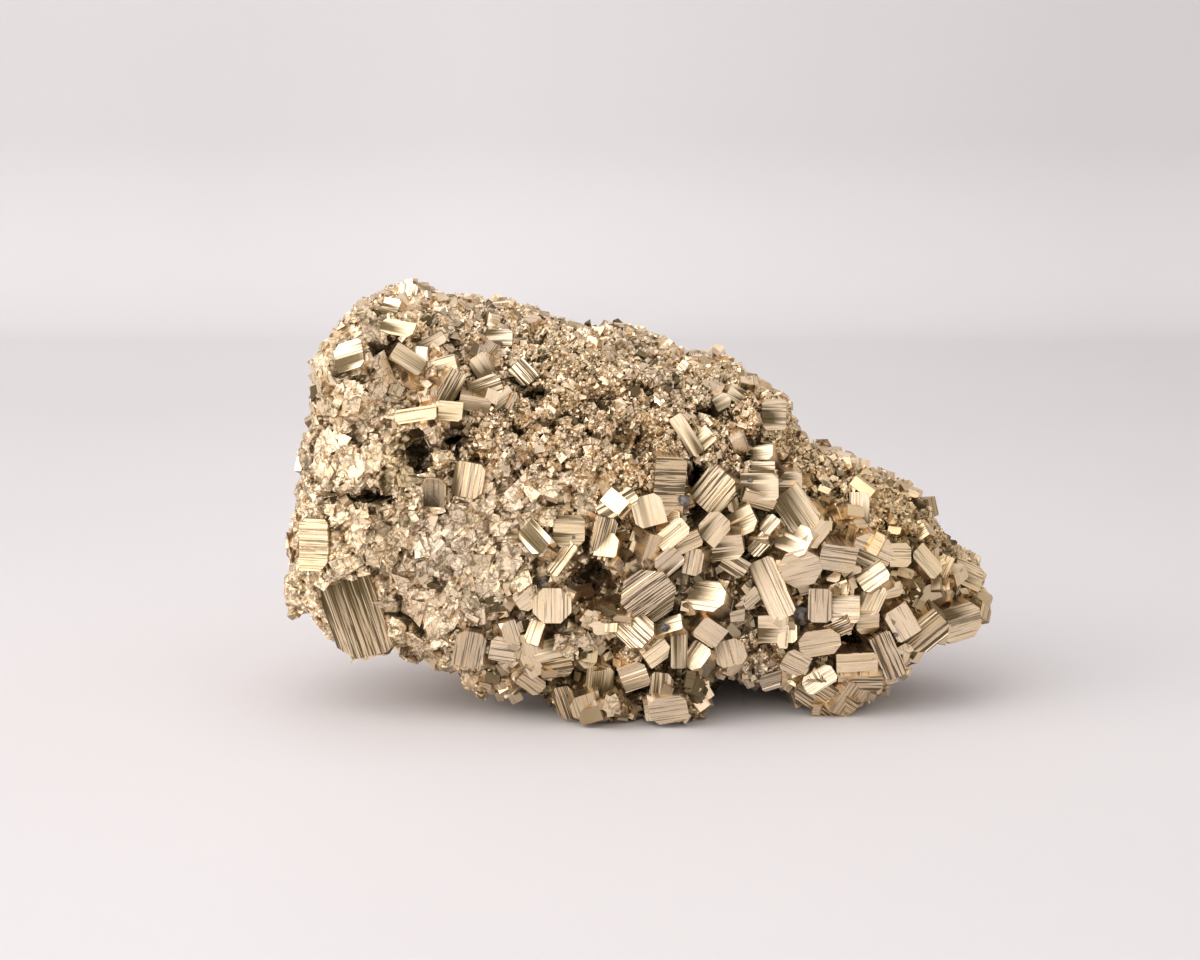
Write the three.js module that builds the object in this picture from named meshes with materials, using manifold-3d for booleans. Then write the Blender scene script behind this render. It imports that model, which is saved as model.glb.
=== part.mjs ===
// A hand-sized cluster of pyrite: cubic crystals grown out of, and into, one mass of fine-grained pyrite.
//
// Millimetres, +Z up. The cluster rests on the plane z = 0 on the flats of its feet. X runs along it, with
// the thick end at -X and the thin end at +X. The well crystallised side faces -Y.
//
// The mass is a sphere drawn out along X and fitted to a run of sections. Lumps are joined to it, cavities
// are cut into it, and each crystal is a corner-cut block sunk into its surface. All of it is one solid.

import * as THREE from 'three';
import { ImprovedNoise } from 'three/addons/math/ImprovedNoise.js';
import { mergeVertices } from 'three/addons/utils/BufferGeometryUtils.js';
import Module from 'manifold-3d';

// ---- Driving dimensions ----

// Sections across the mass: [x, bottom z, top z, front y, back y].
const SECTIONS = [
  [-49.8, 16.5, 19.5, -9, 5],
  [-48.2, 15.0, 28.0, -13, 9],
  [-46.2, 14.0, 41.0, -16, 13],
  [-44.0, 13.0, 51.5, -18, 16],
  [-40.0, 11.0, 55.5, -19, 19],
  [-34.0, 8.5, 60.2, -20, 22],
  [-28.0, 6.5, 57.5, -21, 24],
  [-20.0, 3.5, 55.2, -22, 26],
  [-10.0, 1.5, 53.0, -23, 27],
  [0.0, 1.0, 50.6, -22.5, 27],
  [8.0, 1.5, 49.0, -21, 25],
  [14.0, 3.0, 47.0, -18.5, 22],
  [19.5, 3.5, 43.0, -18, 20],
  [22.5, 2.5, 37.0, -18, 19],
  [29.0, 1.0, 34.8, -18, 16],
  [33.0, 2.0, 33.0, -16.5, 15],
  [38.0, 6.0, 29.8, -14.5, 13],
  [41.0, 8.5, 27.0, -13, 12],
  [45.0, 9.7, 20.8, -10, 9],
  [49.0, 10.3, 18.0, -7, 7],
  [50.3, 11.5, 16.0, -4, 4],
];
const RINGS = 29; // along X
const SPOKES = 20; // around X
const UPPER_POWER = 0.8; // 1 gives a section an elliptical top, less a squarer one
const LOWER_POWER = 0.55; // the same for its lower half
const TOP_LEANS_BACK = 3.5; // how far each section's top stands behind its middle
const END_ROUNDING = 0.18; // share of the sphere's radius over which the ends close
const RELIEF = { size: 13, height: 2.0 };
const BACK_RELIEF = { size: 15, height: 4.0 }; // grows from nothing at the middle to this at the back

// Lumps joined to the mass: [centre x, y, z, size x, y, z]. The first five are its feet.
const LUMPS = [
  [-5.5, -15.5, 3.5, 13.5, 15, 14],
  [4.5, -15.5, 2.5, 11, 16, 14],
  [27.5, -10.0, 4.0, 13, 14, 13],
  [-17.0, 13.0, 4.5, 17, 16, 14],
  [19.0, 10.0, 4.5, 13, 14, 14],
  [-38.8, -9.5, 44.5, 14, 19, 22],
  [-42.0, -6.0, 20.0, 13, 20, 12],
  [14.5, -6.5, 39.0, 14, 17, 14],
  [-43.0, 5.0, 33.0, 9, 18, 26],
  [-31.0, 17.0, 36.0, 25, 20, 28],
  [-5.0, 21.0, 22.0, 28, 20, 26],
  [8.0, 17.0, 39.0, 18, 20, 18],
  [31.0, 11.0, 17.0, 19, 16, 20],
  [-43.0, 3.0, 24.0, 11, 14, 12],
  [-19.0, -12.0, 6.6, 12, 15, 8.6],
];
const LUMP_SWELL = { share: 0.22, fineness: 3 }; // unevenness of lumps and hollows

// Hollows cut into it: [centre x, y, z, size x, y, z]. The first four lie between its feet.
const HOLLOWS = [
  [12.3, -11.0, -1.5, 6.5, 42, 13],
  [19.0, -14.0, -2.5, 13, 20, 10],
  [1.0, 11.0, -2.0, 24, 27, 13],
  [-21.0, -17.0, -2.5, 13, 18, 8],
  [-15.0, 34.0, 41.0, 20, 16, 19],
  [12.0, 32.0, 12.0, 14, 15, 16],
  [-52.0, 5.0, 38.0, 8, 20, 16],
];

// The point that the crystallised side is laid out from, well in front of the cluster and a little above.
// Cavities and crystals give x and z where the line from there crosses the plane y = 0.
const OUTLOOK = new THREE.Vector3(-5.5, -404, 95);

// Cavities: [x, z, width, height, depth].
const CAVITIES = [
  [-26.7, 36.4, 5.5, 4.6, 14],
  [-31.8, 34.5, 5.5, 7.5, 7],
  [-41.0, 28.3, 13.0, 2.4, 5],
  [-14.2, 43.4, 4.2, 1.8, 6],
  [8.3, 30.3, 3.0, 10.5, 14],
  [-6.4, 15.5, 8.5, 7.8, 12],
  [10.0, 40.6, 5.2, 2.6, 6],
  [31.0, 7.3, 5.0, 3.2, 10],
  [36.2, 19.3, 0.9, 3.6, 5],
  [-37.8, 48.6, 3.6, 3.2, 4],
];
const CAVITY_SWELL = { share: 0.3, fineness: 4 };

// Crystals of the crystallised side: [x, z, size along its striations, size across them,
// striation angle from the horizontal, yaw and pitch of the face], angles in degrees.
const CRYSTALS = [
  // crown, over the thick end
  [-33.0, 58.0, 2.5, 2.5, 80, -10, 20],
  [-35.5, 56.0, 2.5, 2.5, -20, -25, 30],
  [-34.5, 53.0, 5.0, 2.0, -20, -20, 35],
  [-29.5, 51.0, 3.5, 1.5, 30, 10, 20],
  [-33.0, 48.5, 4.5, 2.5, -30, 15, 25],
  [-41.5, 49.0, 4.0, 4.0, 10, -25, 25],
  [-27.5, 47.5, 2.5, 2.5, 15, -10, 10],
  [-27.0, 44.5, 4.5, 2.5, 60, 20, 0],
  [-32.0, 40.5, 5.5, 2.0, 3, -15, 35],
  [-27.0, 41.0, 3.0, 2.5, -5, 0, 25],
  [-22.5, 47.5, 3.0, 2.5, -55, 10, 15],
  [-16.5, 46.5, 3.5, 2.5, -50, -20, 25],
  [-22.0, 44.5, 4.5, 2.5, 20, -15, 5],
  [-23.5, 42.0, 4.0, 2.0, -10, 0, -15],
  [-19.5, 43.0, 3.0, 2.0, 35, 20, 10],
  [-20.0, 51.5, 3.5, 2.5, 0, -5, 30],
  // middle
  [12.0, 42.5, 2.0, 2.0, 30, 0, 10],
  [14.0, 43.5, 2.0, 2.0, -30, 15, 15],
  [7.0, 37.5, 6.0, 1.8, -58, -5, 10],
  [9.5, 37.0, 2.5, 2.5, 40, -20, 25],
  [18.0, 35.0, 2.5, 2.0, 0, -20, 30],
  [18.0, 32.5, 3.0, 2.0, 0, -5, 15],
  [19.5, 40.5, 3.5, 4.0, 0, 25, 10],
  [-24.5, 31.0, 4.5, 4.0, 80, -10, 5],
  [-29.5, 29.0, 3.0, 4.0, 0, -15, -5],
  [-15.0, 22.5, 4.5, 3.0, -50, -22, 28],
  [-10.0, 23.5, 4.0, 4.0, 0, 5, 15],
  [-5.0, 23.0, 4.5, 3.0, 75, 20, -5],
  [-3.0, 27.5, 5.5, 2.5, 30, -10, 20],
  [-11.0, 19.5, 5.0, 1.8, 50, -25, 10],
  [-4.5, 21.5, 3.0, 3.0, 80, -18, 22],
  [1.5, 26.5, 4.0, 4.0, -75, 0, 10],
  [4.5, 29.5, 4.0, 9.0, -5, 10, -5],
  [11.0, 29.5, 5.5, 5.0, 50, -15, 5],
  [13.5, 28.5, 4.0, 2.0, -70, 40, 0],
  [17.5, 30.0, 5.0, 3.5, 0, 0, 15],
  [17.5, 28.0, 4.5, 2.0, -20, 10, -15],
  [14.5, 25.0, 4.5, 4.0, 25, -12, 12],
  [11.0, 24.0, 4.0, 3.5, 48, 15, 5],
  [5.0, 23.0, 4.5, 2.5, 38, -10, 20],
  [6.5, 21.5, 5.0, 2.0, 25, -5, 0],
  [12.5, 21.0, 5.0, 3.5, 10, -5, -20],
  [4.5, 19.0, 3.5, 3.0, 40, 12, -12],
  [2.0, 20.5, 4.5, 2.0, 70, 30, -10],
  [8.0, 19.0, 3.5, 2.5, 80, -20, 0],
  [14.0, 18.5, 3.5, 2.5, -32, 10, 5],
  [1.5, 14.0, 7.0, 7.0, 37, 0, -8],
  [10.0, 14.0, 5.0, 4.0, -12, -18, 25],
  // right, up to the thin end
  [22.0, 30.0, 3.0, 4.0, 0, 10, 0],
  [23.0, 26.5, 6.0, 4.5, -55, 5, 15],
  [19.0, 24.5, 2.5, 2.0, 45, -22, 30],
  [22.5, 22.5, 5.0, 4.0, -30, -22, 30],
  [26.0, 23.0, 4.0, 2.0, 45, 35, 10],
  [17.5, 21.5, 3.0, 2.0, 45, -15, 15],
  [29.0, 19.5, 5.0, 3.5, -12, 10, -10],
  [34.0, 20.5, 5.5, 4.5, -25, 5, -5],
  [23.5, 18.0, 5.5, 5.0, 18, -5, -12],
  [19.5, 15.0, 8.5, 3.5, -65, -12, 5],
  [34.0, 17.0, 4.0, 3.5, 30, -20, 28],
  [38.0, 20.0, 3.0, 3.0, 0, 20, 10],
  [32.0, 27.0, 4.0, 2.5, 90, 0, 20],
  [42.0, 19.0, 4.5, 2.5, -45, 25, 20],
  [26.5, 12.5, 4.5, 3.0, 90, -5, -5],
  [30.0, 12.0, 4.0, 3.5, 0, -10, 5],
  [34.0, 13.5, 4.0, 3.0, 65, 0, 10],
  [48.0, 17.0, 4.5, 3.5, -15, 30, 20],
  // lower right lobe
  [33.5, 10.0, 3.0, 3.0, 0, 15, -15],
  [29.0, 9.0, 4.0, 2.0, 35, -20, -20],
  [26.5, 7.0, 5.5, 3.5, 10, 0, -10],
  [22.0, 8.5, 2.5, 2.0, 90, -15, 10],
  [19.5, 9.0, 3.5, 3.5, 0, 0, 0],
  [32.0, 3.5, 5.5, 3.5, 2, 5, -5],
  [32.5, 1.0, 6.0, 2.5, 0, 0, -30],
  [36.5, 5.0, 7.0, 3.0, -65, 20, -5],
  [26.5, 1.5, 4.5, 2.5, 32, -10, 10],
  [27.5, -1.5, 8.0, 5.0, -35, -10, -25],
  [31.0, -1.5, 5.0, 4.0, 55, 30, -25],
  [38.5, 10.0, 4.5, 3.5, -60, 10, 0],
  [42.0, 8.5, 6.0, 4.5, 42, 5, -15],
  [47.0, 10.0, 6.0, 5.0, 10, 20, -5],
  [23.0, 4.0, 3.5, 3.0, -30, 10, -10],
  [20.0, 1.5, 4.0, 2.5, 20, 0, -20],
  // thick end, low down
  [-40.5, 10.5, 11.5, 8.5, -72, -12, -8],
  [-47.0, 21.5, 4.5, 7.0, 0, -30, 5],
  [-24.5, 6.0, 5.5, 4.0, 80, -5, -20],
  // front foot and the crystals above it
  [-12.5, 12.5, 4.5, 5.0, 90, -5, 5],
  [-19.5, 6.0, 3.5, 3.0, -10, 5, 0],
  [-18.5, 8.5, 3.0, 2.0, -72, 15, 0],
  [-15.0, 8.5, 3.0, 2.0, 70, -20, 25],
  [-13.0, 6.0, 4.0, 2.5, 15, 0, -5],
  [-12.0, 3.5, 4.5, 3.0, 15, -8, -15],
  [-15.5, 4.0, 4.0, 2.0, -65, 10, -10],
  [-15.5, 1.0, 3.5, 2.5, -40, 0, -20],
  [-10.5, -2.0, 4.5, 3.0, -70, -25, -10],
  [-7.5, -2.5, 3.5, 4.0, -75, 10, -15],
  [-5.5, 1.5, 3.5, 3.5, 85, 0, -5],
  [-0.5, 9.0, 5.0, 4.5, -45, -18, 25],
  [4.0, 9.5, 4.5, 2.0, 10, -22, 30],
  [2.5, 6.0, 3.5, 3.5, 35, 10, 10],
  [6.0, 6.0, 5.0, 2.0, 90, 5, 0],
  [8.5, 5.0, 3.5, 3.0, 52, -20, 20],
  [10.5, 8.5, 4.0, 3.0, -40, 15, -15],
  [13.5, 5.5, 3.5, 4.0, -75, -5, -5],
  [3.5, 0.5, 3.5, 3.0, 85, -15, 0],
  [-0.5, 2.0, 3.5, 3.5, 20, 0, -10],
  [4.5, -3.0, 5.0, 4.0, 10, 0, -20],
];
const CRYSTAL_PROUD = 1.0; // how far the middle of a crystal's face stands out of the mass
const LEAST_SUNK = 3; // how far behind its face a small crystal reaches, before CRYSTAL_ROOT
const CRYSTAL_ROOT = 1.5;
const CORNER_CUT = 0.2; // of the shorter side

// Crystals of the top, back, ends and underside, spread evenly by a count along and around a line.
const OTHER_CRYSTALS = 40;
const SPREAD_START = new THREE.Vector3(-34, 2, 33);
const SPREAD_END = new THREE.Vector3(35, 2, 19);
const OTHER_AROUND = [140, 325]; // degrees about X, from the front over the top
const OTHER_SIZE = [3.0, 8.0];
const OTHER_SHAPE = 0.8; // of the size, across the striations
const OTHER_ROOT = 2;
const OTHER_TILT = 0.7;
const ALONG_STEP = 0.7548777; // with the next, steps that fill a square evenly
const AROUND_STEP = 0.5698403;
const SIZE_STEP = 0.6180340;
const ANGLE_STEP = 0.29;
const TILT_STEPS = [0.37, 0.59, 0.83];

const GROUND_BELOW = { width: 200, thickness: 50 }; // cuts the feet flat
const CENTRING = new THREE.Vector3(-0.2, -2.6, 0); // sets the middle of the whole over the origin

// ---- Helpers ----

const wasm = await Module();
wasm.setup();
const noise = new ImprovedNoise();
const { lerp, degToRad } = THREE.MathUtils;

function fraction(value) {
  return value - Math.floor(value);
}

function signedPower(value, power) {
  return Math.sign(value) * Math.abs(value) ** power;
}

function weld(geometry) {
  geometry.deleteAttribute('normal');
  geometry.deleteAttribute('uv');
  return mergeVertices(geometry);
}

function solidFrom(geometry) {
  const { attributes, index } = weld(geometry);
  return new wasm.Manifold(new wasm.Mesh({
    numProp: 3,
    vertProperties: attributes.position.array,
    triVerts: new Uint32Array(index.array),
  }));
}

function geometryFrom(solid) {
  const mesh = solid.getMesh();
  const geometry = new THREE.BufferGeometry();
  geometry.setAttribute('position', new THREE.BufferAttribute(mesh.vertProperties, 3));
  geometry.setIndex(new THREE.BufferAttribute(mesh.triVerts, 1));
  return geometry;
}

function moveVertices(geometry, move) {
  const moved = weld(geometry);
  const places = moved.attributes.position;
  const point = new THREE.Vector3();
  for (let i = 0; i < places.count; i += 1) {
    point.fromBufferAttribute(places, i);
    move(point);
    places.setXYZ(i, point.x, point.y, point.z);
  }
  return moved;
}

function sectionAt(x) {
  let next = 1;
  while (next < SECTIONS.length - 1 && SECTIONS[next][0] < x) {
    next += 1;
  }
  const before = SECTIONS[next - 1];
  const after = SECTIONS[next];
  const share = THREE.MathUtils.clamp((x - before[0]) / (after[0] - before[0]), 0, 1);
  const [, bottom, top, front, back] = before.map((value, column) => lerp(value, after[column], share));
  return { bottom, top, front, back, middleY: (front + back) / 2, middleZ: (bottom + top) / 2 };
}

// ---- The mass ----

function relief({ size, height }, place) {
  return height * noise.noise(...place.map((coordinate) => coordinate / size));
}

function drawnOutSphere() {
  const sphere = new THREE.SphereGeometry(1, SPOKES, RINGS);
  sphere.rotateZ(-Math.PI / 2);
  const first = SECTIONS[0][0];
  const last = SECTIONS[SECTIONS.length - 1][0];
  return moveVertices(sphere, (point) => {
    const radius = Math.hypot(point.y, point.z);
    const across = radius > 0 ? point.y / radius : 0;
    const upward = radius > 0 ? point.z / radius : 0;
    const x = lerp(first, last, (point.x + 1) / 2);
    const section = sectionAt(x);
    const closing = Math.sqrt(Math.min(1, radius / END_ROUNDING));
    const halfDepth = ((section.back - section.front) / 2) * closing;
    const halfHeight = ((section.top - section.bottom) / 2) * closing;
    const place = [x, across * halfDepth, upward * halfHeight];
    const bump = closing * (relief(RELIEF, place) + Math.max(0, across) * relief(BACK_RELIEF, place));
    const power = upward > 0 ? UPPER_POWER : LOWER_POWER;
    const depth = (halfDepth + bump) * signedPower(across, power);
    point.x = x;
    point.y = section.middleY + depth + TOP_LEANS_BACK * upward;
    point.z = section.middleZ + (halfHeight + bump) * signedPower(upward, power);
  });
}

function unevenness({ share, fineness }, point, seed) {
  const place = point.toArray().map((value, axis) => value * fineness + seed[axis]);
  return 1 + share * noise.noise(...place);
}

function lump([x, y, z, width, depth, height]) {
  const ball = new THREE.IcosahedronGeometry(0.5, 1);
  return moveVertices(ball, (point) => {
    const swell = unevenness(LUMP_SWELL, point, [x, y, z]);
    point.set(x + point.x * width * swell, y + point.y * depth * swell, z + point.z * height * swell);
  });
}

// ---- Placing things on the mass ----

// Axes of a crystal: its face looks along `normal` and its striations run along `grain`.
function axesFacing(normal, angle) {
  const reference = Math.abs(normal.x) > 0.9 ? new THREE.Vector3(0, 1, 0) : new THREE.Vector3(1, 0, 0);
  const level = reference.addScaledVector(normal, -reference.dot(normal)).normalize();
  const upright = new THREE.Vector3().crossVectors(normal, level);
  const turn = degToRad(angle);
  const grain = level.clone().multiplyScalar(Math.cos(turn)).addScaledVector(upright, Math.sin(turn));
  return { grain, across: new THREE.Vector3().crossVectors(normal, grain), normal };
}

function facing(yaw, pitch) {
  const level = Math.cos(degToRad(pitch));
  const turn = degToRad(yaw);
  return new THREE.Vector3(Math.sin(turn) * level, -Math.cos(turn) * level, Math.sin(degToRad(pitch)));
}

// First point of the surface on a line, as seen from `from`.
function surfacePoint(surface, from, direction) {
  const [hit] = new THREE.Raycaster(from, direction).intersectObject(surface);
  if (!hit) {
    throw new Error(`nothing to grow on along ${direction.toArray()}`);
  }
  return hit.point;
}

function cavity(surface, [x, z, width, height, depth]) {
  const line = new THREE.Vector3(x, 0, z).sub(OUTLOOK).normalize();
  const mouth = surfacePoint(surface, OUTLOOK, line);
  const hollow = moveVertices(new THREE.IcosahedronGeometry(0.5, 1), (point) => {
    const swell = unevenness(CAVITY_SWELL, point, [x, 0, z]);
    point.set(point.x * width * swell, point.y * depth * 2, point.z * height * swell);
  });
  return solidFrom(hollow.translate(...mouth));
}

// A block whose face, with its corners cut, has its centre at `place`; the rest is sunk behind the face.
function crystal(place, axes, along, across, depth) {
  const cut = CORNER_CUT * Math.min(along, across);
  const [a, b] = [along / 2, across / 2];
  const face = new THREE.Shape([
    new THREE.Vector2(a - cut, -b),
    new THREE.Vector2(a, cut - b),
    new THREE.Vector2(a, b),
    new THREE.Vector2(-a, b),
    new THREE.Vector2(-a, -b),
  ]);
  const block = new THREE.ExtrudeGeometry(face, { depth, bevelEnabled: false });
  block.translate(0, 0, -depth);
  block.applyMatrix4(new THREE.Matrix4().makeBasis(axes.grain, axes.across, axes.normal));
  block.translate(place.x, place.y, place.z);
  return solidFrom(block);
}

function facingCrystal(surface, [x, z, along, across, angle, yaw, pitch]) {
  const line = new THREE.Vector3(x, 0, z).sub(OUTLOOK).normalize();
  const place = surfacePoint(surface, OUTLOOK, line).addScaledVector(line, -CRYSTAL_PROUD);
  const depth = CRYSTAL_ROOT + Math.max(Math.min(along, across), LEAST_SUNK);
  return crystal(place, axesFacing(facing(yaw, pitch), angle), along, across, depth);
}

function otherCrystal(surface, count) {
  const share = fraction(count * ALONG_STEP);
  const around = degToRad(lerp(...OTHER_AROUND, fraction(count * AROUND_STEP)));
  const size = lerp(...OTHER_SIZE, fraction(count * SIZE_STEP));
  const leaning = (2 * share - 1) ** 3;
  const outward = new THREE.Vector3(leaning, -Math.cos(around), Math.sin(around)).normalize();
  const root = new THREE.Vector3().lerpVectors(SPREAD_START, SPREAD_END, share);
  const place = surfacePoint(surface, root, outward).addScaledVector(outward, CRYSTAL_PROUD);
  const tilt = new THREE.Vector3(...TILT_STEPS.map((step) => fraction(count * step) - 0.5));
  const normal = outward.addScaledVector(tilt, OTHER_TILT).normalize();
  const axes = axesFacing(normal, 180 * fraction(count * ANGLE_STEP));
  return crystal(place, axes, size, OTHER_SHAPE * size, size + OTHER_ROOT);
}

// ---- The cluster ----

function clusterGeometry() {
  let solid = solidFrom(drawnOutSphere());
  for (const row of LUMPS) {
    solid = solid.add(solidFrom(lump(row)));
  }
  for (const row of HOLLOWS) {
    solid = solid.subtract(solidFrom(lump(row)));
  }
  const bothSides = new THREE.MeshBasicMaterial({ side: THREE.DoubleSide });
  const outside = new THREE.Mesh(geometryFrom(solid), bothSides);
  for (const row of CAVITIES) {
    solid = solid.subtract(cavity(outside, row));
  }
  const surface = new THREE.Mesh(geometryFrom(solid), bothSides);
  for (const row of CRYSTALS) {
    solid = solid.add(facingCrystal(surface, row));
  }
  for (let count = 0; count < OTHER_CRYSTALS; count += 1) {
    solid = solid.add(otherCrystal(surface, count));
  }
  const { width, thickness } = GROUND_BELOW;
  const ground = new THREE.BoxGeometry(width, width, thickness);
  ground.translate(0, 0, -thickness / 2);
  // Crystals close off a few tiny pockets between them: the outermost surface alone is kept.
  const surfaces = solid.subtract(solidFrom(ground)).decompose();
  surfaces.sort((a, b) => b.volume() - a.volume());
  return geometryFrom(surfaces[0]).translate(...CENTRING);
}

const pyrite = new THREE.MeshStandardMaterial({ color: 0xb89c7e, roughness: 0.35, metalness: 1 });
const cluster = new THREE.Mesh(clusterGeometry(), pyrite);
cluster.name = 'pyrite_cluster';

const group = new THREE.Group();
group.add(cluster);

export default group;
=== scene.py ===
import math

import bmesh
import bpy
import numpy as np
from mathutils import Matrix, Vector, noise
from mathutils.bvhtree import BVHTree
from mathutils.kdtree import KDTree


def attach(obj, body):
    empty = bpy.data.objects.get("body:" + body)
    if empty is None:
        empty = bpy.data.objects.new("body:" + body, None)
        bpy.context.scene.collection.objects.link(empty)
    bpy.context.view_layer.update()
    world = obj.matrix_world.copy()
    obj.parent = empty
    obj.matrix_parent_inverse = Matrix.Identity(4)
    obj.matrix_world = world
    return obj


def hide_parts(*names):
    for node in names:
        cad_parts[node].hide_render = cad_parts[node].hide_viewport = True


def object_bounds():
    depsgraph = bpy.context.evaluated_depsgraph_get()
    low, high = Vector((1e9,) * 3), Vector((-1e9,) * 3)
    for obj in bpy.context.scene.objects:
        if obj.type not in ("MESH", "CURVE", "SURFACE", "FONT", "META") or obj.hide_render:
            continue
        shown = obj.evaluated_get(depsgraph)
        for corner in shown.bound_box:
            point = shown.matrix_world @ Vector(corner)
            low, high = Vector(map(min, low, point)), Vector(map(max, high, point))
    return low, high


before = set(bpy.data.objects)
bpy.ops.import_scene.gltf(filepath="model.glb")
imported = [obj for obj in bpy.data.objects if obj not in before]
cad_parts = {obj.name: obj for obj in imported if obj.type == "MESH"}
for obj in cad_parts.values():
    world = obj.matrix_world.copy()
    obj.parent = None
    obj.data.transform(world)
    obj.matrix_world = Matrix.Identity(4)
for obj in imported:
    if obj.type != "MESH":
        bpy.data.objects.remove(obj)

CAD_BOX = [list(map(float, corner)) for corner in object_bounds()]
NODE = "pyrite_cluster"
MM = 0.001  # shapes are worked out in millimetres and stored in metres
SEED = 7

# The solid's own layout, as in its source: where it was centred, and where its front was laid out from.
CENTRING = np.array((-0.2, -2.6, 0.0))
OUTLOOK = np.array((-5.5, -404.0, 95.0)) + CENTRING
CRYSTAL_ROOT = 1.5
LEAST_SUNK = 3.0

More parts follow.
